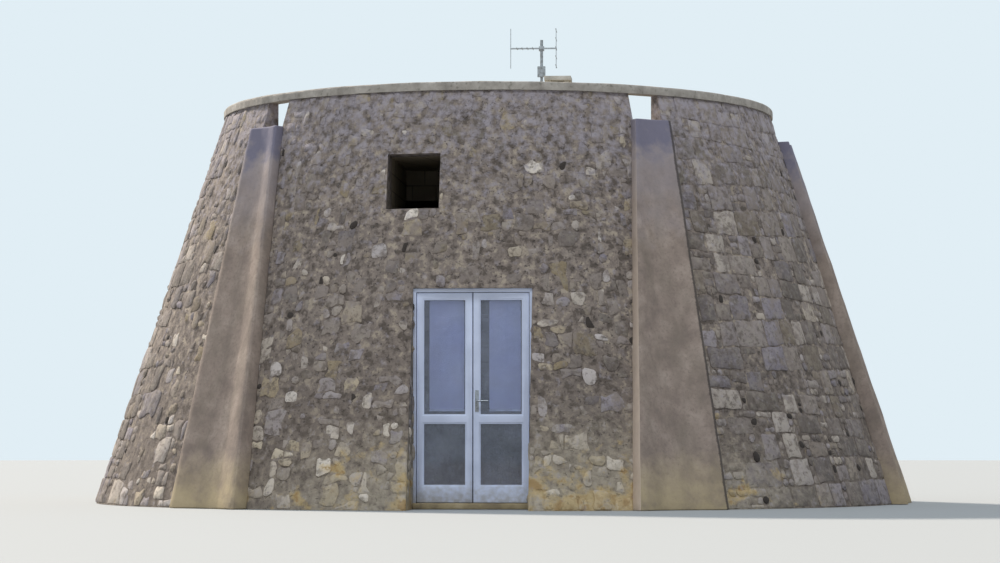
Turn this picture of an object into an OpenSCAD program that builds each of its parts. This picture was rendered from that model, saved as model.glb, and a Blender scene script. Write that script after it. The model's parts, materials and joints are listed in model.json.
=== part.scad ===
// Trullo house: a battered round tower of rubble stone, with a corbelled vault over its one room,
// a flat roof behind a low parapet, plastered rain chutes under the scuppers and a glazed double door.
// The door faces -Y, the ground is z = 0, and the tower's axis is the Z axis.
// A bearing is an angle round the tower in degrees, 0 at the door and positive towards +X.

/* [Tower] */
// Height of the masonry from the ground to the underside of the coping
wall_h = 4360; // [4300:10:4600]
// Inner radius of the room
room_r = 2700; // [2500:10:2900]
// Width of the ledge that the vault springs from
ledge_w = 300; // [260:10:350]
// Distance that the wall's foot stands out past its head
batter_run = 1435; // [1350:5:1550]

/* [Roof] */
// Height of the parapet above the roof paving
parapet_h = 290; // [240:10:340]
// Thickness of the parapet at its top
parapet_t = 115; // [100:5:160]
// Thickness of the stone paving and its bed
paving_t = 200; // [120:10:240]
// Thickness of the coping
coping_t = 90; // [60:5:120]
// How far the coping stands out past each face of the parapet
coping_lip = 28; // [15:1:40]
// Radius of the coping's upper edges
coping_round = 25; // [10:1:30]

/* [Vault] */
// Height at which the vault springs from its ledge
springing_z = 1500; // [1300:10:1700]
// Cover of stone between the crown of the vault and the paving
crown_t = 150; // [100:10:220]
// Radius of the last ring, which the capstone closes
eye_r = 300; // [200:10:400]
// Number of corbelled rings
ring_count = 12; // [9:1:14]

/* [Rain chutes] */
// Width of a scupper through the parapet
scupper_w = 360; // [300:10:400]
// Width of a chute at its top
chute_top_w = 420; // [400:10:460]
// Width of a chute at the ground
chute_base_w = 1020; // [800:10:1100]
// How far a chute stands out of the wall
chute_out = 120; // [90:5:150]
// Depth of a chute's channel at the ground
channel_d = 75; // [50:1:85]
// Width of each sloping side of the channel at the ground
channel_side = 280; // [200:10:320]
// Width of a lip at the top of a chute
lip_top = 40; // [30:1:60]
// Width of a lip at the ground
lip_base = 65; // [50:5:120]

/* [Doorway] */
// How far each jamb of the frame shows beside the leaves, in the doorway in front of the door
jamb_show = 30; // [20:1:50]
// How far each jamb is let into the wall past that, where the doorway widens behind the door
jamb_hold = 60; // [40:5:80]
// Height of the doorway's soffit
soffit_z = 2250; // [2200:10:2350]
// Depth of the door's outer face behind the wall's face at the soffit
door_inset = 70; // [60:5:100]
// Height of the floor and the sill above the ground
floor_z = 60; // [40:5:80]
// Depth of the stone sill from front to back
sill_d = 260; // [200:10:300]
// Height of the lintel
lintel_h = 180; // [140:10:220]
// Length of lintel that bears on the wall at each end
lintel_bearing = 250; // [180:10:260]

/* [Window] */
// Distance of the window's centre to the left of the door's centre
window_x = 650; // [600:10:680]
// Width of the window shaft
window_w = 560; // [480:10:580]
// Height of the window
window_h = 590; // [500:10:600]
// Height of the roof above the window's head
window_drop = 390; // [370:10:450]

/* [Door] */
// Clear width between the jambs of the frame
clear_w = 1160; // [1100:5:1200]
// Height of the frame's head
head_h = 40; // [30:1:60]
// Depth of the frame from front to back
frame_d = 70; // [65:1:80]
// Thickness of a leaf
leaf_t = 55; // [50:1:60]
// Gap round a leaf
leaf_gap = 6; // [5:1:8]
// Gap between the two leaves
mid_gap = 10; // [9:1:12]
// Width of the stiles and the top rail of a leaf
stile_w = 74; // [65:1:85]
// Height of the bottom rail
bottom_rail = 180; // [150:5:200]
// Height of the middle rail
mid_rail = 100; // [80:5:120]
// Height of the middle rail's underside above the floor
mid_rail_z = 805; // [760:5:850]
// Thickness of the glazing
glass_t = 20; // [12:1:24]
// Depth of the groove that holds the glass
groove = 10; // [8:1:12]
// Width of the sunk edge round each pane
bead_w = 14; // [8:1:18]
// Depth of the sunk edge
bead_d = 5; // [3:1:8]

/* [Door fittings] */
// Radius of a hinge knuckle
knuckle_r = 8; // [7:0.5:9]
// Height of a hinge
hinge_h = 90; // [70:2:110]
// Distance of the outer hinges from the ends of a leaf
hinge_end = 230; // [180:10:300]
// Radius of a hinge pin
pin_r = 3.5; // [3:0.1:4]
// Radial clearance between a pin and its knuckle
pin_gap = 0.08; // [0.05:0.01:0.1]
// Thickness of a hinge plate
plate_t = 4; // [3:0.5:5]
// Length of a hinge plate from the pin outwards
plate_l = 34; // [26:1:38]
// Height of the handle above the floor
handle_z = 1040; // [950:10:1100]
// Length of the handle's lever
lever_l = 115; // [95:5:130]
// Radius of the lever
lever_r = 8; // [7:0.5:10]
// How far the lever stands off the leaf
lever_off = 46; // [40:1:50]
// Height of the handle's plate
handle_plate_h = 220; // [180:5:240]
// Thickness of the handle's plate
handle_plate_t = 6; // [4:1:8]
// Gap at the left of the blind on the left leaf
left_blind_gap = 50; // [20:5:70]
// Gap at the left of the blind on the right leaf
right_blind_gap = 85; // [20:5:90]
// Gap at the right of either blind
blind_gap = 12; // [8:1:20]
// Gap under a blind's bottom bar
blind_hang = 30; // [20:5:60]
// Thickness of a blind's cloth
cloth_t = 3; // [2:0.5:4]
// Distance of the cloth from the leaf
cloth_off = 12; // [8:1:16]
// Height of a blind's cassette
cassette_h = 44; // [36:1:50]
// Depth of a blind's cassette
cassette_d = 40; // [32:1:44]
// Height of a blind's bottom bar
bar_h = 22; // [16:1:26]
// Thickness of a blind's bottom bar
bar_t = 10; // [8:1:12]

/* [On the roof] */
// Distance of the aerial's mast to the right of the tower's axis
mast_x = 500; // [400:10:600]
// Distance of the mast in front of the axis
mast_v = 0; // [-100:10:100]
// Height of the mast above the roof
mast_h = 1230; // [1150:10:1400]
// Radius of the mast
mast_r = 17; // [14:1:20]
// Width of the mast's square foot plate
foot_w = 180; // [160:5:220]
// Thickness of the foot plate
foot_t = 10; // [8:1:12]
// Height of the mast's socket
socket_h = 90; // [80:5:120]
// Height of the junction box above the roof
junction_z = 800; // [700:10:850]
// Width of the junction box
junction_w = 90; // [80:5:110]
// Height of the junction box itself
junction_h = 120; // [100:5:140]
// Height of the aerial's boom above the roof
boom_h = 1130; // [1080:10:1140]
// Reach of the boom to the left of the mast
boom_left = 360; // [330:10:420]
// Reach of the boom to the right of the mast
boom_right = 175; // [160:5:240]
// Half width of the square boom
boom_half = 8; // [7:0.5:9]
// Height of the reflector and of the front rod
reflector_h = 460; // [400:10:480]
// Radius of the aerial's rods
rod_r = 4; // [3:0.5:5]
// Number of directors on the boom
director_count = 4; // [3:1:4]
// Length of the longest director
director_l = 240; // [200:10:280]
// Distance of the flue to the right of the tower's axis
flue_x = 730; // [650:10:900]
// Distance of the flue in front of the axis
flue_v = 800; // [700:10:1000]
// Width of the flue
flue_w = 240; // [220:10:300]
// Height of the flue stack above the roof
flue_h = 580; // [480:10:640]
// Width of the flue's hole
flue_hole = 120; // [100:10:140]
// Depth of the flue's hole
flue_hole_d = 300; // [200:10:400]
// Thickness of the flue's cap
cap_t = 50; // [40:5:60]
// How far the cap stands out past the stack
cap_lip = 30; // [15:5:40]
// Height of the gap under the cap
cap_gap = 70; // [50:5:90]
// Width of each pier under the cap
cap_pier = 45; // [35:5:50]

/* [Hidden] */
$fn = 96;
// Segments of a circle where a round face is cut at an odd bearing, and on small parts
fine = 240;
small = 24;
// Gap left between pieces that are seated on each other
fit = 0.3;
// Overshoot of a cut past the face that it opens
over = 50;
// Where each chute starts under its scupper, and where it meets the ground: six bearings, from the door round
chute_tops = [33.4, 87, 134.5, 213.4, 260, 314.5];
chute_feet = [27.5, 81, 143.5, 207.5, 254, 323.5];
chute_names = ["chute_front_right", "chute_right", "chute_back_right",
               "chute_back_left", "chute_left", "chute_front_left"];
wall_names = ["wall_front_right", "wall_right", "wall_back_right", "wall_back",
              "wall_back_left", "wall_left", "wall_front_left"];
vault_names = ["vault_front_right", "vault_right", "vault_back_right", "vault_back",
               "vault_back_left", "vault_left", "vault_front_left"];
door_names = ["wall_over_door", "vault_over_door", "wall_beside_door_left", "wall_beside_door_right", "door_lintel",
              "door_sill", "floor_slab", "door_frame", "frame_hinges", "left_leaf", "right_leaf",
              "left_glass", "right_glass", "left_hinges", "right_hinges", "door_handle",
              "left_blind", "right_blind", "left_blind_fittings", "right_blind_fittings"];
roof_names = ["roof_paving", "coping", "flue", "flue_cap", "aerial_mast", "aerial"];

// Heights and radii that follow from the sizes above
vault_r = room_r + ledge_w;
top_r = vault_r + parapet_t;
base_r = top_r + batter_run;
batter = batter_run / wall_h;
batter_angle = atan(batter);
roof_z = wall_h - parapet_h;
vault_top = roof_z - paving_t;
crown_z = vault_top - crown_t;
flue_top = roof_z + flue_h;

// The wall and the vault are laid in equal sectors, one of them the door bay, with a thin seam between two
sector = 360 / (len(wall_names) + 1);
seam = 0.01;

// The window shaft runs in to the ring above the one that its sill meets
window_z = roof_z - window_drop - window_h;
window_edge = window_x + window_w / 2;
sill_ring = ceil(ring_count * (window_z - springing_z) / (crown_z - springing_z));
window_in = sqrt(pow(ring_r(sill_ring + 1), 2) - pow(window_edge, 2)) - over;

// Door sizes that follow: the doorway is set out from the frame, in front of the door and behind it
reveal_w = clear_w + 2 * jamb_show;
passage_w = reveal_w + 2 * jamb_hold;
door_v = outer_r(soffit_z) - door_inset;
lintel_reach = passage_w / 2 + lintel_bearing;
lintel_front = sqrt(pow(outer_r(soffit_z + lintel_h), 2) - pow(lintel_reach, 2)) - over;
sill_front = door_v + sill_d / 2;
sill_back = sill_front - sill_d;
frame_back = door_v - frame_d;
frame_half = passage_w / 2 - fit;
leaf_v = frame_back + leaf_t;
leaf_w = (clear_w - 2 * leaf_gap - mid_gap) / 2;
leaf_bottom = floor_z + leaf_gap;
leaf_top = soffit_z - fit - head_h - leaf_gap;
pane_w = leaf_w - 2 * stile_w;
pane_x = mid_gap / 2 + stile_w;
lower_pane_z = leaf_bottom + bottom_rail;
mid_z = floor_z + mid_rail_z;
upper_pane_z = mid_z + mid_rail;
upper_pane_top = leaf_top - stile_w;
glass_v = frame_back + (leaf_t + glass_t) / 2;
hinge_x = (clear_w - leaf_gap) / 2;
hinge_v = frame_back - knuckle_r - 1;
hinge_zs = [leaf_bottom + hinge_end, (leaf_bottom + leaf_top) / 2, leaf_top - hinge_end];

// Outer radius of the wall at a height
function outer_r(z) = base_r - batter * z;

// Height of the top of corbelled ring i, and its inner radius
function ring_z(i) = springing_z + (crown_z - springing_z) * i / ring_count;
function ring_r(i) = eye_r + (room_r - eye_r) * sqrt(1 - pow(i / ring_count, 2));

// A quarter circle of points round a centre, from one angle through ninety degrees
function quarter(c, r, from) = [for (a = [0 : 22.5 : 90]) c + r * [cos(from + a), sin(from + a)]];

// A block between two x, two distances in front of the axis, and two heights
module block(x0, x1, v0, v1, z0, z1) {
    translate([x0, -v1, z0]) cube([x1 - x0, v1 - v0, z1 - z0]);
}

// A drawing in x and z stood upright, its outer face at distance v and its thickness behind it
module upright(v, thickness) {
    translate([0, -v + thickness, 0]) rotate([90, 0, 0]) linear_extrude(thickness) children();
}

// A profile in radius and height, swept between two bearings
module sweep(from, to) {
    rotate([0, 0, from - 90]) rotate_extrude(angle = to - from) children();
}

// The same for the whole of sector i, where sector 0 is the door bay
module sweep_sector(i) {
    sweep((i - 0.5) * sector + seam / 2, (i + 0.5) * sector - seam / 2) children();
}

// The space of every scupper through the parapet
module scuppers() {
    for (bearing = chute_tops) rotate([0, 0, bearing])
        block(-scupper_w / 2, scupper_w / 2, vault_r - over, base_r, roof_z, wall_h + over);
}

// A wall segment: battered outside and plumb inside, with the ledge that the vault springs from
// and the parapet at its head
module wall_segment(i) {
    color("rosybrown") difference() {
        sweep_sector(i)
            polygon([[room_r, 0], [base_r, 0], [top_r, wall_h],
                     [vault_r, wall_h], [vault_r, springing_z], [room_r, springing_z]]);
        scuppers();
    }
}

// The space of the doorway up to a height: narrower in front of the door than behind it
module doorway(top) {
    block(-passage_w / 2, passage_w / 2, room_r / 2, door_v, -over, top);
    block(-reveal_w / 2, reveal_w / 2, door_v - over, base_r + over, -over, top);
}

module window_shaft() {
    block(-window_edge, window_w / 2 - window_x, window_in, base_r, window_z, window_z + window_h);
}

module lintel_block(gap) {
    reach = lintel_reach + gap;
    block(-reach, reach, vault_r - (gap > 0 ? over : -2 * fit), lintel_front + gap,
          soffit_z + (gap > 0 ? -over : fit), soffit_z + lintel_h + gap);
}

module wall_over_door() {
    color("rosybrown") difference() {
        sweep_sector(0)
            polygon([[vault_r, soffit_z + fit], [outer_r(soffit_z + fit), soffit_z + fit],
                     [top_r, wall_h], [vault_r, wall_h]]);
        window_shaft();
        lintel_block(fit);
    }
}

// One side of the door bay under the soffit, left of the door at side -1 and right of it at side 1
module wall_beside_door(side) {
    $fn = fine;
    // The sweep starts inside the doorway, which then cuts it plumb
    near = asin(reveal_w / 2 / base_r) / 2;
    far = (sector - seam) / 2;
    color("rosybrown") difference() {
        sweep(side > 0 ? near : -far, side > 0 ? far : -near)
            polygon([[room_r, 0], [base_r, 0], [outer_r(soffit_z), soffit_z],
                     [vault_r, soffit_z], [vault_r, springing_z], [room_r, springing_z]]);
        doorway(soffit_z + over);
    }
}

module door_lintel() {
    color("tan") lintel_block(0);
}

module door_sill() {
    color("tan") block(-reveal_w / 2 + fit, reveal_w / 2 - fit, sill_back, sill_front, 0, floor_z);
}

module floor_slab() {
    color("gainsboro") union() {
        cylinder(h = floor_z, r = room_r - fit);
        block(-passage_w / 2 + fit, passage_w / 2 - fit, room_r / 2, sill_back - fit, 0, floor_z);
    }
}

// A sector of the vault: a mass of stone whose underside steps inwards ring by ring to the crown
module vault_sector(i) {
    soffit = [for (k = [ring_count : -1 : 1])
                 for (z = [ring_z(k), k > 1 ? ring_z(k - 1) : springing_z + fit]) [ring_r(k), z]];
    color("wheat") difference() {
        sweep_sector(i)
            polygon(concat([[vault_r - fit, springing_z + fit], [vault_r - fit, vault_top - fit],
                            [0, vault_top - fit], [0, crown_z]], soffit));
        doorway(soffit_z);
        window_shaft();
    }
}

module roof_paving() {
    color("lightgray") translate([0, 0, vault_top]) cylinder(h = paving_t, r = vault_r - fit);
}

module coping() {
    inner = vault_r - coping_lip;
    outer = top_r + coping_lip;
    top = wall_h + coping_t;
    color("silver") rotate_extrude()
        polygon(concat([[inner, wall_h + fit], [outer, wall_h + fit]],
                       quarter([outer - coping_round, top - coping_round], coping_round, 0),
                       quarter([inner + coping_round, top - coping_round], coping_round, 90)));
}

// The chute's outline up the slope of the wall: its sides run straight from the ground to the scupper,
// and on past both, where the chute is cut off level
module chute_outline(top_x, foot_x, top_w, foot_w, height) {
    run = 1.2;
    x0 = foot_x - (top_x - foot_x) * (run - 1);
    x1 = foot_x + (top_x - foot_x) * run;
    w0 = foot_w + (foot_w - top_w) * (run - 1);
    w1 = foot_w - (foot_w - top_w) * run;
    polygon([[x0 - w0 / 2, height * (1 - run)], [x0 + w0 / 2, height * (1 - run)],
             [x1 + w1 / 2, height * run], [x1 - w1 / 2, height * run]]);
}

// Everything above the plane that slopes down to the left from the inner edge of a chute's right lip
module above_side(top_edge, foot_edge, height) {
    reach = 2 * chute_base_w;
    turn = atan((top_edge - foot_edge) / height);
    translate([foot_edge, -chute_out, 0]) rotate([0, turn, 0])
        rotate([0, 0, -atan(channel_d / (channel_side * cos(turn)))])
            translate([-reach, -reach, -reach]) cube([reach + over, reach, height + 2 * reach]);
}

// The space of the channel: a floor and two sides that slope up to the lips. Its width and its depth
// shrink together up the chute, so that its three planes meet where the lips would.
module channel(top_x, foot_x, height) {
    reach = 2 * chute_base_w;
    top_half = chute_top_w / 2 - lip_top;
    foot_half = chute_base_w / 2 - lip_base;
    intersection() {
        translate([0, channel_d - chute_out, 0])
            rotate([atan(channel_d * (1 - top_half / foot_half) / height), 0, 0])
                translate([-reach, -reach, -reach]) cube([2 * reach, reach, height + 2 * reach]);
        above_side(top_x + top_half, foot_x + foot_half, height);
        mirror([1, 0, 0]) above_side(top_half - top_x, foot_half - foot_x, height);
    }
}

// A plastered rain chute: a widening strip that the roof water runs down between two lips
module chute(i) {
    $fn = fine;
    middle = (chute_tops[i] + chute_feet[i]) / 2;
    top_x = outer_r(roof_z) * sin(chute_tops[i] - middle);
    foot_x = base_r * sin(chute_feet[i] - middle);
    slope = roof_z / cos(batter_angle);
    root = base_r / 10;
    color("darkgray") rotate([0, 0, middle]) difference() {
        intersection() {
            translate([0, -base_r, 0]) rotate([-batter_angle, 0, 0]) difference() {
                upright(chute_out, chute_out + root)
                    chute_outline(top_x, foot_x, chute_top_w, chute_base_w, slope);
                channel(top_x, foot_x, slope);
            }
            cylinder(h = roof_z, r = 2 * base_r);
        }
        translate([0, 0, -over])
            cylinder(h = roof_z + 2 * over, r1 = outer_r(-over) + fit, r2 = outer_r(roof_z + over) + fit);
    }
}

// Both panes of one leaf as a drawing, grown on every side
module panes(grow) {
    translate([pane_x - grow, lower_pane_z - grow])
        square([pane_w + 2 * grow, mid_z - lower_pane_z + 2 * grow]);
    translate([pane_x - grow, upper_pane_z - grow])
        square([pane_w + 2 * grow, upper_pane_top - upper_pane_z + 2 * grow]);
}

// A leaf at the right of the doorway
module leaf() {
    color("white") difference() {
        upright(leaf_v, leaf_t) difference() {
            translate([mid_gap / 2, leaf_bottom]) square([leaf_w, leaf_top - leaf_bottom]);
            panes(0);
        }
        upright(leaf_v + over, over + bead_d) panes(bead_w);
        upright(frame_back + bead_d, over + bead_d) panes(bead_w);
        upright(glass_v + fit, glass_t + 2 * fit) panes(groove);
    }
}

module glass() {
    color([0.6, 0.7, 0.8, 0.5]) upright(glass_v, glass_t) panes(groove - fit);
}

module door_frame() {
    head = soffit_z - fit;
    color("white") upright(door_v - fit, frame_d - fit) difference() {
        translate([-frame_half, floor_z]) square([2 * frame_half, head - floor_z]);
        translate([-clear_w / 2, floor_z - over]) square([clear_w, head - head_h - floor_z + over]);
    }
}

// The leaf's half of each hinge at the right of the doorway: the upper knuckle and its plate
module leaf_hinges() {
    $fn = small;
    color("gray") for (z = hinge_zs) difference() {
        union() {
            translate([hinge_x, -hinge_v, z]) cylinder(h = hinge_h / 2, r = knuckle_r);
            block(hinge_x - plate_l, hinge_x, frame_back - plate_t, frame_back - fit, z, z + hinge_h / 2);
        }
        translate([hinge_x, -hinge_v, z - over]) cylinder(h = hinge_h + 2 * over, r = pin_r + pin_gap);
    }
}

// The frame's half of each hinge at the right of the doorway: the lower knuckle, its plate and the pin
module frame_hinge_row() {
    $fn = small;
    for (z = hinge_zs) union() {
        translate([hinge_x, -hinge_v, z - hinge_h / 2 - fit]) cylinder(h = hinge_h / 2, r = knuckle_r);
        translate([hinge_x, -hinge_v, z - hinge_h / 4]) cylinder(h = 3 * hinge_h / 4 + 2, r = pin_r);
        block(hinge_x, hinge_x + plate_l, frame_back - plate_t, frame_back - fit,
              z - hinge_h / 2 - fit, z - fit);
    }
}

module frame_hinges() {
    color("gray") union() {
        frame_hinge_row();
        mirror([1, 0, 0]) frame_hinge_row();
    }
}

// One side of the handle, standing out towards -Y from a face at distance v: plate, neck and lever
module handle_side() {
    plate_w = stile_w / 2;
    translate([-plate_w / 2, -handle_plate_t, -handle_plate_h / 2])
        cube([plate_w, handle_plate_t, handle_plate_h]);
    rotate([90, 0, 0]) cylinder(h = lever_off, r = lever_r);
    translate([0, -lever_off, 0]) {
        sphere(r = lever_r);
        rotate([0, 90, 0]) cylinder(h = lever_l, r = lever_r);
        translate([lever_l, 0, 0]) sphere(r = lever_r);
    }
}

module door_handle() {
    $fn = small;
    x = mid_gap / 2 + stile_w / 2;
    z = floor_z + handle_z;
    color("dimgray") {
        translate([x, -leaf_v - fit, z]) handle_side();
        translate([x, -frame_back + fit, z]) mirror([0, 1, 0]) handle_side();
    }
}

// The cloth of a roller blind over the upper pane of a leaf at the given left edge of the pane
module blind(left_x, left_gap) {
    color("aliceblue")
        block(left_x + left_gap, left_x + pane_w - blind_gap,
              frame_back - cloth_off - cloth_t, frame_back - cloth_off,
              upper_pane_z + blind_hang + bar_h + fit, upper_pane_top - fit);
}

// The cassette above the pane and the bar in the cloth's lower edge
module blind_fittings(left_x, left_gap) {
    x0 = left_x + left_gap;
    x1 = left_x + pane_w - blind_gap;
    bar_v = frame_back - cloth_off - cloth_t / 2 + bar_t / 2;
    color("white") {
        block(x0 - blind_gap / 2, x1 + blind_gap / 2, frame_back - cassette_d, frame_back - fit,
              upper_pane_top, upper_pane_top + cassette_h);
        block(x0, x1, bar_v - bar_t, bar_v, upper_pane_z + blind_hang, upper_pane_z + blind_hang + bar_h);
    }
}

left_pane_x = -pane_x - pane_w;

// A square prism round the flue's axis, of half this width and between two heights
module flue_block(half, z0, z1) {
    block(flue_x - half, flue_x + half, flue_v - half, flue_v + half, z0, z1);
}

// The flue: a rendered stack with a blind hole
module flue() {
    color("whitesmoke") difference() {
        flue_block(flue_w / 2, roof_z, flue_top);
        flue_block(flue_hole / 2, flue_top - flue_hole_d, flue_top + over);
    }
}

// The slab that keeps rain out of the flue, on a pier at each corner
module flue_cap() {
    half = flue_w / 2;
    soffit = flue_top + cap_gap;
    color("whitesmoke") union() {
        flue_block(half + cap_lip, soffit, soffit + cap_t);
        for (x = [flue_x - half, flue_x + half - cap_pier])
            for (v = [flue_v - half, flue_v + half - cap_pier])
                block(x, x + cap_pier, v, v + cap_pier, flue_top + fit, soffit + cap_t / 2);
    }
}

// The mast on its foot plate, with the box that the aerial's lead goes to
module aerial_mast() {
    $fn = small;
    half = foot_w / 2;
    color("silver") union() {
        block(mast_x - half, mast_x + half, mast_v - half, mast_v + half, roof_z, roof_z + foot_t);
        translate([mast_x, -mast_v, roof_z]) cylinder(h = mast_h, r = mast_r);
        translate([mast_x, -mast_v, roof_z]) cylinder(h = socket_h, r = 2 * mast_r);
        block(mast_x - junction_w / 2, mast_x + junction_w / 2, mast_v + mast_r / 2,
              mast_v + mast_r + junction_w / 2, roof_z + junction_z, roof_z + junction_z + junction_h);
    }
}

// A rod of the aerial, centred on a point and lying along x, y or z
module rod(at, along, length) {
    turn = along == "x" ? [0, 90, 0] : along == "y" ? [90, 0, 0] : [0, 0, 0];
    translate(at) rotate(turn) translate([0, 0, -length / 2]) cylinder(h = length, r = rod_r);
}

// The aerial: a boom clamped to the mast, with a reflector at one end and directors towards the other
module aerial() {
    $fn = small;
    clamp_half = 30;
    clamp_rise = 25;
    clamp_wall = 10;
    clamp_web = 4;
    end_in = rod_r + 2;
    first_in = 40;
    last_in = 20;
    rungs = 5;
    rung_l = 1.25 * director_l;
    rung_span = 0.9 * reflector_h;
    taper = 0.06;
    z = roof_z + boom_h;
    v = mast_v + mast_r + clamp_web + boom_half;
    pitch = (boom_left - first_in - last_in) / (director_count + 1);
    color("silver") union() {
        block(mast_x - boom_left, mast_x + boom_right, v - boom_half, v + boom_half,
              z - boom_half, z + boom_half);
        difference() {
            block(mast_x - clamp_half, mast_x + clamp_half, mast_v - mast_r - clamp_wall, v,
                  z - clamp_rise, z + clamp_rise);
            translate([mast_x, -mast_v, z - over]) cylinder(h = 2 * over, r = mast_r + fit);
        }
        rod([mast_x + boom_right - end_in, -v, z], "z", reflector_h);
        rod([mast_x - boom_left + end_in, -v, z], "z", reflector_h);
        for (i = [0 : rungs - 1])
            rod([mast_x + boom_right - end_in, -v, z + rung_span * (i / (rungs - 1) - 0.5)], "y", rung_l);
        for (i = [1 : director_count])
            rod([mast_x - first_in - i * pitch, -v, z], "y", director_l * (1 - taper * i));
    }
}

for (i = [0 : len(wall_names) - 1])
    wall_segment(i + 1);
for (i = [0 : len(vault_names) - 1])
    vault_sector(i + 1);
for (i = [0 : len(chute_names) - 1])
    chute(i);
wall_over_door();
vault_sector(0);  // vault_over_door
wall_beside_door(-1);  // wall_beside_door_left
wall_beside_door(1);  // wall_beside_door_right
door_lintel();
door_sill();
floor_slab();
door_frame();
frame_hinges();
mirror([1, 0, 0]) leaf();  // left_leaf
leaf();  // right_leaf
mirror([1, 0, 0]) glass();  // left_glass
glass();  // right_glass
mirror([1, 0, 0]) leaf_hinges();  // left_hinges
leaf_hinges();  // right_hinges
door_handle();
blind(left_pane_x, left_blind_gap);  // left_blind
blind(pane_x, right_blind_gap);  // right_blind
blind_fittings(left_pane_x, left_blind_gap);  // left_blind_fittings
blind_fittings(pane_x, right_blind_gap);  // right_blind_fittings
roof_paving();
coping();
flue();
flue_cap();
aerial_mast();
aerial();
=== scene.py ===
import bpy, bmesh, json, math, random
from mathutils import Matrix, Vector

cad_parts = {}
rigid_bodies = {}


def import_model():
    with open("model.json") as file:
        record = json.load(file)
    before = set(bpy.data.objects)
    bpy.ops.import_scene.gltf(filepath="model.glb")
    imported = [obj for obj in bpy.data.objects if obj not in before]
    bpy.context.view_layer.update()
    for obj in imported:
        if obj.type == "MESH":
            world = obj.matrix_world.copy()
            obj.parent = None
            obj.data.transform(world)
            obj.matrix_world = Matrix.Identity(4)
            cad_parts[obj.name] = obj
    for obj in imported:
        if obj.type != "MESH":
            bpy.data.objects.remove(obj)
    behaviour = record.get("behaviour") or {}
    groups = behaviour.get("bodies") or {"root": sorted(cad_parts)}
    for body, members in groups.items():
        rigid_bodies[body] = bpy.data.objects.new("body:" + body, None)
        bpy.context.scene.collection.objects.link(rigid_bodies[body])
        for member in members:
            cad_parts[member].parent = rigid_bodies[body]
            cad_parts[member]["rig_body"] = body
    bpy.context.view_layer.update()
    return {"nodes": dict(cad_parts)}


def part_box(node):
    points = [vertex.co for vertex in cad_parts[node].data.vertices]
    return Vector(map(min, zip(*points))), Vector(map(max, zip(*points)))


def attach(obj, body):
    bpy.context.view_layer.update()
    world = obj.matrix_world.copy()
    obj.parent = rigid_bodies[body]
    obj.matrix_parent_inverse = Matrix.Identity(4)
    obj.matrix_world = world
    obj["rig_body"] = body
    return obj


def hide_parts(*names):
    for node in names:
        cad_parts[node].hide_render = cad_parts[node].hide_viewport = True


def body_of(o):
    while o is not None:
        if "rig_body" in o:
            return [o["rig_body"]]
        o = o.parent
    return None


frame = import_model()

print("stage 1: the packed model is loaded")

# The tower as the source builds it, in metres: a battered ring with a flat roof behind its parapet.
# A bearing is in degrees round the tower, 0 at the door and positive to the right of someone facing it.
tower = {"footRadius": 4.55, "headRadius": 3.115, "wallHeight": 4.36, "roofHeight": 4.07}
doorway = {"halfWidth": 0.61, "height": 2.25, "doorFace": 3.7395, "sillTop": 0.06}
window = {"left": -0.93, "right": -0.37, "sill": 3.09, "head": 3.68}
scupper = {"width": 0.36, "foot": 4.07}
chutes = {"names": ["chute_front_right", "chute_right", "chute_back_right",
                    "chute_back_left", "chute_left", "chute_front_left"],
          "tops": [33.4, 87, 134.5, 213.4, 260, 314.5],
          "feet": [27.5, 81, 143.5, 207.5, 254, 323.5],
          "topWidth": 0.42, "footWidth": 1.02, "lap": 0.03}
right, up, ahead = Vector((1, 0, 0)), Vector((0, 0, 1)), Vector((0, 1, 0))


def outward(bearing):
    a = math.radians(bearing)
    return Vector((math.sin(a), -math.cos(a), 0))


def wallRadius(height):
    return tower["footRadius"] - (tower["footRadius"] - tower["headRadius"]) * height / tower["wallHeight"]


def bearingOf(point):
    return math.degrees(math.atan2(point.x, -point.y)) % 360


# selecting, shaping and finishing

def activate(obj):
    if bpy.context.object and bpy.context.object.mode != "OBJECT":
        bpy.ops.object.mode_set(mode="OBJECT")
    bpy.ops.object.select_all(action="DESELECT")
    obj.select_set(True)
    bpy.context.view_layer.objects.active = obj


def edit(obj):
    activate(obj)
    bpy.ops.object.mode_set(mode="EDIT")
    return bmesh.from_edit_mesh(obj.data)


def leaveEdit():
    bpy.ops.object.mode_set(mode="OBJECT")


def pickAll():
    bpy.ops.mesh.select_all(action="SELECT")


def turnOutwards():
    pickAll()
    bpy.ops.mesh.normals_make_consistent(inside=False)


def pickFaces(obj, wanted):
    bm = bmesh.from_edit_mesh(obj.data)
    bpy.ops.mesh.select_mode(type="FACE")
    picked = 0
    for f in bm.faces:
        f.select_set(bool(wanted(f)))
        picked += f.select
    bmesh.update_edit_mesh(obj.data)
    return picked


def pickEdges(obj, wanted):
    bm = bmesh.from_edit_mesh(obj.data)
    bpy.ops.mesh.select_mode(type="EDGE")
    bpy.ops.mesh.select_all(action="DESELECT")
    for e in bm.edges:
        if wanted(e):
            e.select_set(True)
    bmesh.update_edit_mesh(obj.data)


def cutAcross(normal, low, high, step):
    at = low + step
    while at < high:
        pickAll()
        bpy.ops.mesh.bisect(plane_co=normal * at, plane_no=normal, threshold=0.0001)
        at += step


def applyModifier(obj, kind, **settings):
    activate(obj)
    mod = obj.modifiers.new(kind.lower(), kind)
    for key, value in settings.items():
        setattr(mod, key, value)
    bpy.ops.object.modifier_apply(modifier=mod.name)


def unevenness(obj, size, height):
    # lumps of about this size, in metres, half of them standing out and half sunk
    tex = bpy.data.textures.new(obj.name + "Lumps", "CLOUDS")
    tex.noise_scale = size
    applyModifier(obj, "DISPLACE", texture=tex, texture_coords="LOCAL", strength=height, mid_level=0.5)


def softenArrises(obj, width):
    applyModifier(obj, "BEVEL", width=width, segments=2, limit_method="ANGLE", angle_limit=math.radians(30))


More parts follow.
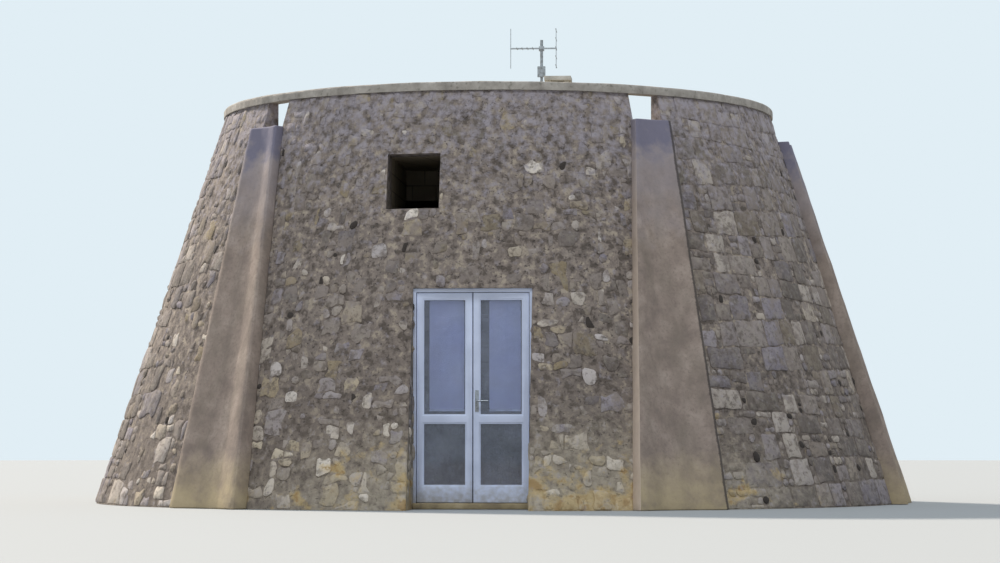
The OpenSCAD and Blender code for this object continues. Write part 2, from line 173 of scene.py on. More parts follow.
def finishPiece(obj, name, mat, body, slotName, replaced=(), smoothAngle=30):
    obj.name = name
    obj.data.name = name
    obj.data.materials.clear()
    obj.data.materials.append(mat)
    activate(obj)
    bpy.ops.object.transform_apply(location=True, rotation=True, scale=True)
    bpy.ops.object.shade_smooth_by_angle(angle=math.radians(smoothAngle))
    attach(obj, body)
    if replaced:
        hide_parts(*replaced)


def mergedCopy(nodeName):
    # the node's own loose triangles stay as they are: this is a copy of them, merged into whole faces
    copy = bpy.data.objects.new(nodeName + "Copy", frame["nodes"][nodeName].data.copy())
    bpy.context.scene.collection.objects.link(copy)
    edit(copy)
    pickAll()
    bpy.ops.mesh.remove_doubles(threshold=0.0002)
    bpy.ops.mesh.dissolve_limited(angle_limit=math.radians(0.3))
    leaveEdit()
    return copy


# materials

def linear(hexColour):
    out = []
    for i in (1, 3, 5):
        c = int(hexColour[i:i + 2], 16) / 255
        out.append(c / 12.92 if c <= 0.04045 else ((c + 0.055) / 1.055) ** 2.4)
    return (*out, 1.0)


def newMaterial(name, roughness, metallic=0.0, ior=1.5):
    # place is where on the object a point lies, for the patterns to be drawn by
    mat = bpy.data.materials.new(name)
    mat.use_nodes = True
    tree = mat.node_tree
    shader = tree.nodes["Principled BSDF"]
    shader.inputs["Roughness"].default_value = roughness
    shader.inputs["Metallic"].default_value = metallic
    shader.inputs["IOR"].default_value = ior
    place = addNode(tree, "TexCoord", out="Object")
    return mat, tree, shader, place


def addNode(tree, kind, inputs=None, out=0, stops=(), **settings):
    n = tree.nodes.new("ShaderNode" + kind)
    for key, value in settings.items():
        setattr(n, key, value)
    for key, value in (inputs or {}).items():
        if isinstance(value, bpy.types.NodeSocket):
            tree.links.new(value, n.inputs[key])
        else:
            n.inputs[key].default_value = value
    for i, (position, colour) in enumerate(stops):      # the lowest stop, the highest, the others
        e = n.color_ramp.elements[i] if i < 2 else n.color_ramp.elements.new(position)
        e.position, e.color = position, linear(colour)
    return n.outputs[out]


def perMetre(sizeMm):
    # the scale that makes a noise pattern's lumps about this many millimetres across
    return 1000.0 / sizeMm


def surface(mat, shader, colour, relief, reliefMm):
    tree = mat.node_tree
    normal = addNode(tree, "Bump", {"Height": relief, "Distance": reliefMm / 1000})
    tree.links.new(colour, shader.inputs["Base Color"])
    tree.links.new(normal, shader.inputs["Normal"])
    return mat


def weathered(tree, place, colour):
    # pale dust and ochre soil creep up from the ground in patches, most of all just right of the door
    height = addNode(tree, "SeparateXYZ", {0: place}, out="Z")
    away = addNode(tree, "VectorMath", {0: place, 1: (0.7, -4.4, 0.5)}, out="Value", operation="DISTANCE")
    trodden = addNode(tree, "MapRange", {"Value": away, "From Min": 3.6, "From Max": 1.3,
                                         "To Min": 0.4, "To Max": 1.0})
    patch = addNode(tree, "TexNoise",
                    {"Vector": place, "Scale": perMetre(240), "Detail": 6.0, "Roughness": 0.6})
    low = addNode(tree, "MapRange", {"Value": height, "From Min": 1.7, "From Max": 0.1})
    low = addNode(tree, "Math", {0: low, 1: trodden}, operation="MULTIPLY")
    fine = addNode(tree, "TexNoise",
                   {"Vector": place, "Scale": perMetre(80), "Detail": 5.0, "Roughness": 0.6})
    dust = addNode(tree, "Math", {0: low, 1: fine}, operation="MULTIPLY")
    dust = addNode(tree, "MapRange", {"Value": dust, "From Min": 0.2, "From Max": 0.5, "To Max": 0.55})
    soil = addNode(tree, "MapRange", {"Value": low, "To Min": -0.32, "To Max": 0.0})
    soil = addNode(tree, "Math", {0: soil, 1: patch}, operation="ADD")
    soil = addNode(tree, "MapRange", {"Value": soil, "From Min": 0.45, "From Max": 0.56, "To Max": 0.62})
    clod = addNode(tree, "TexNoise", {"Vector": place, "Scale": perMetre(110), "Detail": 4.0})
    rusty = addNode(tree, "Math", {0: soil, 1: clod}, operation="MULTIPLY")
    rusty = addNode(tree, "MapRange", {"Value": rusty, "From Min": 0.28, "From Max": 0.36, "To Max": 0.55})
    # grey-black lichen darkens the head of the wall a little and runs down from it in streaks
    drawn = addNode(tree, "Mapping", {"Vector": place, "Scale": (1.0, 1.0, 0.2)})
    streak = addNode(tree, "TexNoise", {"Vector": drawn, "Scale": perMetre(300), "Detail": 5.0})
    high = addNode(tree, "MapRange", {"Value": height, "From Min": 2.2, "From Max": 4.4, "To Max": 0.22})
    dark = addNode(tree, "Math", {0: high, 1: streak}, operation="ADD")
    dark = addNode(tree, "MapRange", {"Value": dark, "From Min": 0.52, "From Max": 0.85, "To Max": 0.2})
    # and a pale violet-grey one blooms on it in small patches, most of all just under the parapet
    bloom = addNode(tree, "MapRange", {"Value": height, "From Min": 2.6, "From Max": 4.4,
                                       "To Min": -0.2, "To Max": 0.02})
    bloom = addNode(tree, "Math", {0: bloom, 1: fine}, operation="ADD")
    bloom = addNode(tree, "MapRange", {"Value": bloom, "From Min": 0.38, "From Max": 0.62, "To Max": 0.85})
    for amount, coat in [(dust, "#c9bda6"), (soil, "#cbb078"), (rusty, "#957243"), (dark, "#565250"),
                         (bloom, "#a39ca2")]:
        colour = addNode(tree, "Mix", {0: amount, 6: colour, 7: linear(coat)}, 2, data_type="RGBA")
    return colour


def makeRubbleStone():
    # Limestone rubble, split by hand and left in the weather: matt, pitted, each stone its own grey
    mat, tree, shader, place = newMaterial("limestoneRubble", 0.94)
    tint = addNode(tree, "Attribute", out="Color", attribute_name="stoneTint")
    tone, warmth, holeShade = [addNode(tree, "SeparateColor", {0: tint}, out=part)
                            for part in ("Red", "Green", "Blue")]
    colour = addNode(tree, "ValToRGB", {"Fac": tone}, stops=[
        (0.0, "#685f59"), (1.0, "#e6dccf"), (0.35, "#867b74"), (0.7, "#a0958c"), (0.88, "#c3b8ac")])
    warm = addNode(tree, "MapRange", {"Value": warmth, "From Min": 0.62, "To Max": 0.6})
    cool = addNode(tree, "MapRange", {"Value": warmth, "From Min": 0.35, "From Max": 0.0, "To Max": 0.6})
    blotch = addNode(tree, "TexNoise",
                     {"Vector": place, "Scale": perMetre(95), "Detail": 6.0, "Roughness": 0.65})
    pale = addNode(tree, "MapRange", {"Value": blotch, "From Min": 0.45, "From Max": 0.75, "To Max": 0.5})
    stain = addNode(tree, "TexNoise",
                    {"Vector": place, "Scale": perMetre(75), "Detail": 6.0, "Roughness": 0.65})
    stain = addNode(tree, "MapRange", {"Value": stain, "From Min": 0.5, "From Max": 0.62, "To Max": 0.7})
    # weather pits are 5 to 10 mm in the real stone, drawn at 24 mm so that they show
    grain = addNode(tree, "TexNoise",
                    {"Vector": place, "Scale": perMetre(24), "Detail": 3.0, "Roughness": 0.7})
    # the pits are painted dark, painted shade in them, besides being sunk in the bump below
    pits = addNode(tree, "MapRange", {"Value": grain, "From Min": 0.6, "From Max": 0.74})
    pitted = addNode(tree, "Math", {0: pits, 1: 0.6}, operation="MULTIPLY")
    # mortar was wiped over the stones in ragged patches, most of all high in the wall
    height = addNode(tree, "SeparateXYZ", {0: place}, out="Z")
    wiped = addNode(tree, "TexNoise",
                    {"Vector": place, "Scale": perMetre(230), "Detail": 6.0, "Roughness": 0.6})
    higher = addNode(tree, "MapRange", {"Value": height, "From Max": 4.4, "To Min": -0.07, "To Max": 0.03})
    wiped = addNode(tree, "Math", {0: wiped, 1: higher}, operation="ADD")
    wiped = addNode(tree, "MapRange", {"Value": wiped, "From Min": 0.5, "From Max": 0.57, "To Max": 0.8})
    for amount, coat in [(warm, "#a39068"), (cool, "#918b97"), (pale, "#ada594"), (stain, "#61574e"),
                         (pitted, "#4a443f"), (wiped, "#8a7f77")]:
        colour = addNode(tree, "Mix", {0: amount, 6: colour, 7: linear(coat)}, 2, data_type="RGBA")
    colour = weathered(tree, place, colour)
    # a hole is a small stone painted near-black: painted shade that stands for a hollow in the wall
    colour = addNode(tree, "Mix", {0: holeShade, 6: colour, 7: linear("#3a332e")}, 2, data_type="RGBA")
    rough = addNode(tree, "TexNoise",
                    {"Vector": place, "Scale": perMetre(50), "Detail": 8.0, "Roughness": 0.72})
    rough = addNode(tree, "Math", {0: rough, 1: pitted}, operation="SUBTRACT")
    return surface(mat, shader, colour, rough, 13)


def makeMortar():
    # Lime and earth mortar, thrown in and wiped over the edges of the stones: grainy, with small voids
    mat, tree, shader, place = newMaterial("limeEarthMortar", 0.96)
    lumps = addNode(tree, "TexNoise",
                    {"Vector": place, "Scale": perMetre(130), "Detail": 7.0, "Roughness": 0.7})
    colour = addNode(tree, "ValToRGB", {"Fac": lumps}, stops=[
        (0.3, "#6c625b"), (0.78, "#a4988c"), (0.54, "#897d74")])
    clump = addNode(tree, "TexNoise",
                    {"Vector": place, "Scale": perMetre(90), "Detail": 5.0, "Roughness": 0.6})
    earth = addNode(tree, "MapRange", {"Value": clump, "From Min": 0.51, "From Max": 0.6, "To Max": 0.72})
    chalk = addNode(tree, "MapRange", {"Value": clump, "From Min": 0.46, "From Max": 0.36, "To Max": 0.65})
    grain = addNode(tree, "TexNoise", {"Vector": place, "Scale": perMetre(32), "Detail": 2.0})
    # the voids are painted dark, painted shade in them, and sunk in the bump as well
    voids = addNode(tree, "MapRange", {"Value": grain, "From Min": 0.62, "From Max": 0.72, "To Max": 0.6})
    # low down the joints are washed out, and dark with damp
    height = addNode(tree, "SeparateXYZ", {0: place}, out="Z")
    washed = addNode(tree, "MapRange", {"Value": height, "From Min": 3.0, "From Max": 0.4, "To Max": 1.0})
    washed = addNode(tree, "Math", {0: washed, 1: lumps}, operation="MULTIPLY")
    washed = addNode(tree, "MapRange", {"Value": washed, "From Min": 0.15, "From Max": 0.6, "To Max": 0.62})
    for amount, coat in [(earth, "#483f37"), (chalk, "#b9ab97"), (voids, "#3d3834"), (washed, "#5f554c")]:
        colour = addNode(tree, "Mix", {0: amount, 6: colour, 7: linear(coat)}, 2, data_type="RGBA")
    colour = weathered(tree, place, colour)
    rough = addNode(tree, "TexNoise",
                    {"Vector": place, "Scale": perMetre(45), "Detail": 8.0, "Roughness": 0.75})
    rough = addNode(tree, "Math", {0: rough, 1: voids}, operation="SUBTRACT")
    return surface(mat, shader, colour, rough, 16)


def makePlaster():
    # Lime plaster floated by hand over the chutes, washed and streaked by years of roof water
    mat, tree, shader, place = newMaterial("limePlaster", 0.9)
    height = addNode(tree, "SeparateXYZ", {0: place}, out="Z")
    cloud = addNode(tree, "TexNoise",
                    {"Vector": place, "Scale": perMetre(280), "Detail": 7.0, "Roughness": 0.62})
    colour = addNode(tree, "ValToRGB", {"Fac": cloud}, stops=[
        (0.28, "#786b63"), (0.74, "#ac9d91"), (0.5, "#938479")])
    drawn = addNode(tree, "Mapping", {"Vector": place, "Scale": (1.0, 1.0, 0.12)})
    streak = addNode(tree, "TexNoise", {"Vector": drawn, "Scale": perMetre(130), "Detail": 5.0})
    run = addNode(tree, "MapRange", {"Value": streak, "From Min": 0.42, "From Max": 0.72, "To Max": 0.55})
    # the sand in the plaster is 1 to 4 mm, drawn at 32 mm so that it shows
    sand = addNode(tree, "TexNoise",
                   {"Vector": place, "Scale": perMetre(32), "Detail": 4.0, "Roughness": 0.7})
    speck = addNode(tree, "MapRange", {"Value": sand, "From Min": 0.5, "From Max": 0.68, "To Max": 0.55})
    # violet-grey algae down the upper third, darkest where the water of each scupper strikes the chute
    ragged = addNode(tree, "TexNoise", {"Vector": place, "Scale": perMetre(190), "Detail": 5.0})
    ragged = addNode(tree, "Math", {0: ragged, 1: height}, operation="ADD")
    algae = addNode(tree, "MapRange", {"Value": ragged, "From Min": 3.2, "From Max": 4.4, "To Max": 0.8})
    struck = addNode(tree, "MapRange", {"Value": ragged, "From Min": 4.14, "From Max": 4.4, "To Max": 0.64})
    low = addNode(tree, "MapRange", {"Value": height, "From Min": 0.9, "From Max": 0.0})
    soil = addNode(tree, "Math", {0: low, 1: cloud}, operation="MULTIPLY")
    soil = addNode(tree, "MapRange", {"Value": soil, "From Min": 0.16, "From Max": 0.5, "To Max": 0.7})
    # right of the door the left cheek of one chute is paler, a rosy line that fades upwards
    cheeks = addNode(tree, "Attribute", out="Color", attribute_name="cheeks")
    paleCheek = addNode(tree, "SeparateColor", {0: cheeks}, out="Red")
    paleLine = addNode(tree, "MapRange", {"Value": height, "From Min": 3.9, "From Max": 1.2,
                                      "To Min": 0.15, "To Max": 0.85})
    paleLine = addNode(tree, "Math", {0: paleLine, 1: paleCheek}, operation="MULTIPLY")
    worn = addNode(tree, "MapRange", {"Value": cloud, "From Min": 0.35, "From Max": 0.6,
                                      "To Min": 1.0, "To Max": 0.7})
    paleLine = addNode(tree, "Math", {0: paleLine, 1: worn}, operation="MULTIPLY")
    # and along the arris on its other side runs a thin ragged dark line, painted shadow that stands for the
    # shade on the wall beside the chute
    shadowLine = addNode(tree, "SeparateColor", {0: cheeks}, out="Green")
    shadowLine = addNode(tree, "Math", {0: sand, 1: 0.25, 2: shadowLine}, operation="MULTIPLY_ADD")
    shadowLine = addNode(tree, "MapRange", {"Value": shadowLine, "From Min": 0.8, "From Max": 0.9, "To Max": 0.85})
    grain = addNode(tree, "TexNoise",
                    {"Vector": place, "Scale": perMetre(60), "Detail": 9.0, "Roughness": 0.72})
    for amount, coat in [(run, "#766c60"), (speck, "#75685e"), (algae, "#958e93"), (struck, "#5a5c76"),
                         (soil, "#b3a27c"), (paleLine, "#dac5b1"), (shadowLine, "#3f3935")]:
        colour = addNode(tree, "Mix", {0: amount, 6: colour, 7: linear(coat)}, 2, data_type="RGBA")
    return surface(mat, shader, colour, grain, 6)


def makeCement():
    # Cement cast along the parapet: grey, rain-washed, with dark lichen in the pores
    mat, tree, shader, place = newMaterial("castCement", 0.9)
    cloud = addNode(tree, "TexNoise",
                    {"Vector": place, "Scale": perMetre(170), "Detail": 7.0, "Roughness": 0.65})
    colour = addNode(tree, "ValToRGB", {"Fac": cloud}, stops=[
        (0.3, "#857f77"), (0.74, "#bdb7ae"), (0.52, "#a29c93")])
    spots = addNode(tree, "TexNoise", {"Vector": place, "Scale": perMetre(45), "Detail": 3.0})
    lichen = addNode(tree, "MapRange", {"Value": spots, "From Min": 0.6, "From Max": 0.7, "To Max": 0.55})
    colour = addNode(tree, "Mix", {0: lichen, 6: colour, 7: linear("#67645a")}, 2, data_type="RGBA")
    grain = addNode(tree, "TexNoise",
                    {"Vector": place, "Scale": perMetre(35), "Detail": 8.0, "Roughness": 0.7})
    return surface(mat, shader, colour, grain, 5)


def makeCorbelStone():
    # Soft limestone of the vault, roughly squared and laid in rings with dark joints
    mat, tree, shader, place = newMaterial("corbelLimestone", 0.9)
    x, y, z = [addNode(tree, "SeparateXYZ", {0: place}, out=axis) for axis in "XYZ"]
    turn = addNode(tree, "Math", {0: x, 1: y}, operation="ARCTAN2")
    along = addNode(tree, "Math", {0: turn, 1: 2.2}, operation="MULTIPLY")      # metres round the room
    laid = addNode(tree, "CombineXYZ", {0: along, 1: z})
    blocks = addNode(tree, "TexBrick", {"Vector": laid, "Scale": 1.0, "Color1": linear("#b3a893"),
                                        "Color2": linear("#9a8f7b"), "Mortar": linear("#5f584d"),
                                        "Mortar Size": 0.008, "Brick Width": 0.34, "Row Height": 0.185})
    cloud = addNode(tree, "TexNoise", {"Vector": place, "Scale": perMetre(200), "Detail": 7.0})
    colour = addNode(tree, "Mix", {0: cloud, 6: blocks, 7: linear("#8d8371")}, 2, data_type="RGBA")
    grain = addNode(tree, "TexNoise",
                    {"Vector": place, "Scale": perMetre(35), "Detail": 8.0, "Roughness": 0.7})
    return surface(mat, shader, colour, grain, 6)


def makeSawnStone(name, dark, mid, pale, wornMm):
    # Soft limestone cut with a saw: open grain, with paler wear in patches
    mat, tree, shader, place = newMaterial(name, 0.86)
    cloud = addNode(tree, "TexNoise", {"Vector": place, "Scale": perMetre(wornMm), "Detail": 7.0})
    colour = addNode(tree, "ValToRGB", {"Fac": cloud}, stops=[(0.3, dark), (0.74, pale), (0.52, mid)])
    # the grain's pores are 1 to 3 mm, drawn at 18 mm so that they show, and painted darker as painted shade
    # in them
    pores = addNode(tree, "TexNoise", {"Vector": place, "Scale": perMetre(18), "Detail": 3.0})
    sunk = addNode(tree, "MapRange", {"Value": pores, "From Min": 0.6, "From Max": 0.72, "To Max": 0.35})
    colour = addNode(tree, "Mix", {0: sunk, 6: colour, 7: linear(dark)}, 2, data_type="RGBA")
    grain = addNode(tree, "TexNoise",
                    {"Vector": place, "Scale": perMetre(30), "Detail": 8.0, "Roughness": 0.7})
    return surface(mat, shader, colour, grain, 4)


def makePaint():
    # White oil paint brushed on pine: satin, a little chalked, soiled near the sill
    mat, tree, shader, place = newMaterial("paintedPine", 0.38)
    height = addNode(tree, "SeparateXYZ", {0: place}, out="Z")
    cloud = addNode(tree, "TexNoise", {"Vector": place, "Scale": perMetre(190), "Detail": 5.0})
    chalk = addNode(tree, "MapRange", {"Value": cloud, "From Min": 0.35, "From Max": 0.75})
    colour = addNode(tree, "Mix",
                     {0: chalk, 6: linear("#d6dff6"), 7: linear("#c8d1e8")}, 2, data_type="RGBA")
    low = addNode(tree, "MapRange", {"Value": height, "From Min": 0.5, "From Max": 0.06})
    spatter = addNode(tree, "TexNoise", {"Vector": place, "Scale": perMetre(55), "Detail": 5.0})
    soil = addNode(tree, "Math", {0: low, 1: spatter}, operation="MULTIPLY")
    soil = addNode(tree, "MapRange", {"Value": soil, "From Min": 0.25, "From Max": 0.55, "To Max": 0.5})
    colour = addNode(tree, "Mix", {0: soil, 6: colour, 7: linear("#8f8873")}, 2, data_type="RGBA")
    gloss = addNode(tree, "MapRange", {"Value": cloud, "From Min": 0.3, "From Max": 0.7,
                                       "To Min": 0.3, "To Max": 0.5})
    tree.links.new(gloss, shader.inputs["Roughness"])
    drawn = addNode(tree, "Mapping", {"Vector": place, "Scale": (1.0, 1.0, 0.08)})
    brushed = addNode(tree, "TexNoise", {"Vector": drawn, "Scale": perMetre(9), "Detail": 3.0})
    return surface(mat, shader, colour, brushed, 0.6)


def makeGlass():
    # Float glass in two panes: faintly uneven, it mirrors the sky at a low angle through a film of dust
    mat, tree, shader, place = newMaterial("floatGlass", 0.03, ior=1.52)
    dust = addNode(tree, "TexNoise", {"Vector": place, "Scale": perMetre(210), "Detail": 5.0})
    clear = addNode(tree, "MapRange", {"Value": dust, "From Min": 0.3, "From Max": 0.7,
                                       "To Min": 0.95, "To Max": 0.87})
    tree.links.new(clear, shader.inputs["Transmission Weight"])
    wave = addNode(tree, "TexNoise", {"Vector": place, "Scale": perMetre(280), "Detail": 1.0})
    colour = addNode(tree, "Mix", {0: wave, 6: linear("#d5daf4"), 7: linear("#dfe5f6")}, 2, data_type="RGBA")
    return surface(mat, shader, colour, wave, 0.4)


def makeBlindCloth():
    # Coated polyester in a plain weave: matt, with its threads drawn 12 mm apart so that they show
    mat, tree, shader, place = newMaterial("wovenPolyester", 0.85)
    shader.inputs["Sheen Weight"].default_value = 0.2
    threads = {"Vector": place, "Scale": 26.0, "Distortion": 0.3}      # a band each 12 mm at this scale
    warp, weft = [addNode(tree, "TexWave", threads, "Fac", bands_direction=axis) for axis in "XZ"]
    weave = addNode(tree, "Math", {0: warp, 1: weft}, operation="ADD")
    thread = addNode(tree, "MapRange", {"Value": weave, "From Min": 0.4, "From Max": 1.6})
    colour = addNode(tree, "Mix",
                     {0: thread, 6: linear("#c4c5da"), 7: linear("#d9dae9")}, 2, data_type="RGBA")
    shade = addNode(tree, "TexNoise", {"Vector": place, "Scale": perMetre(520), "Detail": 2.0})
    faded = addNode(tree, "MapRange", {"Value": shade, "From Min": 0.3, "From Max": 0.7, "To Max": 0.3})
    colour = addNode(tree, "Mix", {0: faded, 6: colour, 7: linear("#a3aecb")}, 2, data_type="RGBA")
    return surface(mat, shader, colour, weave, 0.5)


def makeMetal(name, bright, dull, roughness, patchMm):
    # Bare or plated metal kept outdoors: dulled in patches by its oxide
    mat, tree, shader, place = newMaterial(name, roughness, metallic=1.0)
    oxide = addNode(tree, "TexNoise", {"Vector": place, "Scale": perMetre(patchMm), "Detail": 6.0})
    patch = addNode(tree, "MapRange", {"Value": oxide, "From Min": 0.38, "From Max": 0.68})
    colour = addNode(tree, "Mix", {0: patch, 6: linear(bright), 7: linear(dull)}, 2, data_type="RGBA")
    worn = addNode(tree, "MapRange", {"Value": patch, "To Min": roughness, "To Max": roughness + 0.2})
    tree.links.new(worn, shader.inputs["Roughness"])
    return surface(mat, shader, colour, oxide, 0.3)


rubbleStone = makeRubbleStone()
mortar = makeMortar()
plaster = makePlaster()
cement = makeCement()
corbelStone = makeCorbelStone()
roofStone = makeSawnStone("roofLimestone", "#7f796c", "#989181", "#aea695", 260)
sawnStone = makeSawnStone("sawnLimestone", "#7d7059", "#a0906f", "#bcab8c", 160)
floorStone = makeSawnStone("floorLimestone", "#7a6f5c", "#978a74", "#b0a38b", 320)
flueRender = makeSawnStone("cementRender", "#a9a69c", "#c6c3b8", "#d8d5cb", 140)
paint = makePaint()
glass = makeGlass()
blindCloth = makeBlindCloth()
anodised = makeMetal("anodisedAluminium", "#c9ccd2", "#b0b4bc", 0.4, 90)
zincPlated = makeMetal("zincPlatedSteel", "#b9bcc0", "#8c8578", 0.45, 12)
satinMetal = makeMetal("satinAluminium", "#9a9da2", "#7c7e82", 0.35, 14)
galvanised = makeMetal("galvanisedSteel", "#a9adb1", "#8b8d8e", 0.5, 30)
drawnMetal = makeMetal("drawnAluminium", "#b4b7ba", "#949699", 0.4, 20)

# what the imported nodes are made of: a whole name counts before its first word, and the rest is sawn stone
familyFinish = {"wall": mortar, "vault": corbelStone, "chute": plaster}
nodeFinish = {"floor_slab": floorStone, "roof_paving": mortar, "left_glass": glass, "right_glass": glass,
              "frame_hinges": zincPlated, "left_hinges": zincPlated, "right_hinges": zincPlated,
              "left_blind_fittings": anodised, "right_blind_fittings": anodised, "aerial": drawnMetal,
              "aerial_mast": galvanised}
for name, node in frame["nodes"].items():
    node.data.materials.clear()
    node.data.materials.append(nodeFinish.get(name) or familyFinish.get(name.split("_")[0], sawnStone))
print("stage 2: the materials are made")

# stones: a net of small cells, merged at random into stones, laid over a face and then shaped

stones = {"jitter": 0.4, "coursedJitter": 0.14, "narrowest": 0.02, "shortest": 0.024,
          "joints": [0.006, 0.009, 0.012],
          # cut of the corners, height of the side, width and height of the shoulder
          "shapes": [(0.006, 0.014, 0.004, 0.002), (0.010, 0.017, 0.007, 0.004),
                     (0.014, 0.018, 0.010, 0.005), (0.018, 0.015, 0.013, 0.005),
                     (0.022, 0.021, 0.016, 0.007), (0.026, 0.024, 0.019, 0.009)],
          "cornerFits": 0.45, "shoulderFits": 0.38, "draft": 0.002, "sunk": 0.014, "crown": 0.5,
          "lumpSize": 0.12, "lumps": 0.024, "deepest": -0.03, "furthest": 0.06, "folded": -0.15,
          # how many cells wide and high a stone may be, tried from a random one on
          "looseSizes": [(3, 3), (3, 2), (3, 2), (2, 2), (2, 2), (2, 2), (3, 1), (2, 1), (2, 1), (1, 2),
                         (1, 1)],
          "coursedSizes": [(6, 3), (5, 3), (4, 3), (3, 3), (4, 2), (3, 2), (3, 1), (2, 1), (1, 1)],
          "courseCells": 3, "courseStarts": 5,
          # share of holes among the small stones, painted near-black as the shade of a hollow: in all, times
          # this at the head and this more at the foot
          "holeSize": 0.11, "holes": (0.035, 0.3, 3.5),
          # a higher power makes darker stones: squared, loose at the head, less at the foot
          "tones": (1.7, 1.9, 1.55), "largePale": 0.24, "palest": 0.8, "squaredWarmth": 0.75}


def laidStones(cells, courses, rng, coursed):
    # every cell of the net gets the number of its stone, and whole courses are laid first
    order = [(c, r) for r in range(courses) for c in range(cells)]
    rng.shuffle(order)
    order.sort(key=lambda cell: coursed(cell[0]) and cell[1] % stones["courseCells"] != 0)
    owner, stone = {}, 0
    for c, r in order:
        if (c, r) in owner:
            continue
        sizes = stones["coursedSizes"] if coursed(c) else stones["looseSizes"]
        begins = coursed(c) and r % stones["courseCells"] == 0
        start = rng.randrange(stones["courseStarts"] if begins else len(sizes))
        for w, h in sizes[start:]:
            block = [(c + i, r + j) for i in range(w) for j in range(h)]
            if all(x < cells and y < courses and (x, y) not in owner for x, y in block):
                for cell in block:
                    owner[cell] = stone
                stone += 1
                break
    return owner


def stoneNet(cells, courses, seed, coursed, place):
    rng = random.Random(seed)
    owner = laidStones(cells, courses, rng, coursed)
    bpy.ops.mesh.primitive_grid_add(x_subdivisions=cells, y_subdivisions=courses, size=1)
    net = bpy.context.object
    for v in net.data.vertices:          # one unit a cell, from the corner
        v.co = Vector((round((v.co.x + 0.5) * cells), round((v.co.y + 0.5) * courses), 0))
    edit(net)

    def withinStone(e):
        if len(e.link_faces) < 2:
            return False
        a, b = (f.calc_center_median() for f in e.link_faces)
        return owner[(int(a.x), int(a.y))] == owner[(int(b.x), int(b.y))]
    pickEdges(net, withinStone)
    bpy.ops.mesh.dissolve_edges(use_verts=False)
    leaveEdit()
    for v in net.data.vertices:
        u, r = v.co.x, v.co.y
        most = stones["coursedJitter"] if coursed(u) else stones["jitter"]
        du, dr = rng.uniform(-most, most), rng.uniform(-most, most)
        if u in (0, cells):              # the ends of a net keep their place, because they may meet
            du = dr = 0
        v.co = place(u + du, r if r in (0, courses) else r + dr)
    return net


def cutOpening(net, planes):
    # planes are (point, normal), the normals pointing out of the opening
    def reaches(f):
        return all(any((v.co - p).dot(out) < -0.0005 for v in f.verts) for p, out in planes)

    def inside(f):
        return all((f.calc_center_median() - p).dot(out) < 0 for p, out in planes)
    for point, normal in planes:
        if pickFaces(net, reaches):
            bpy.ops.mesh.bisect(plane_co=point, plane_no=normal, threshold=0.0002)
    pickFaces(net, inside)
    bpy.ops.mesh.delete(type="FACE")


def innerRadius(f):
    # the radius of the circle inside a face, exact for one whose sides all touch it
    return 2 * f.calc_area() / f.calc_perimeter()


def neckWidth(f):
    # the least distance from a corner of a face to a side that doesn't meet it
    least = 1.0
    corners = [v.co for v in f.verts]
    for i, a in enumerate(corners):
        side = corners[i - 1] - a
        squared = side.length_squared
        for j, p in enumerate(corners):
            if j not in (i, (i - 1) % len(corners)):
                t = min(max((p - a).dot(side) / squared, 0.0), 1.0)
                least = min(least, (p - a - side * t).length)
    return least


def crossed(f):
    # a quad that turns both ways at its corners has a dent, or sides that cross
    if len(f.verts) != 4:
        return False
    turns = []
    for c in f.loops:
        arriving = c.vert.co - c.link_loop_prev.vert.co
        leaving = c.link_loop_next.vert.co - c.vert.co
        turns.append(arriving.cross(leaving).dot(f.normal))
    return min(turns) < 0


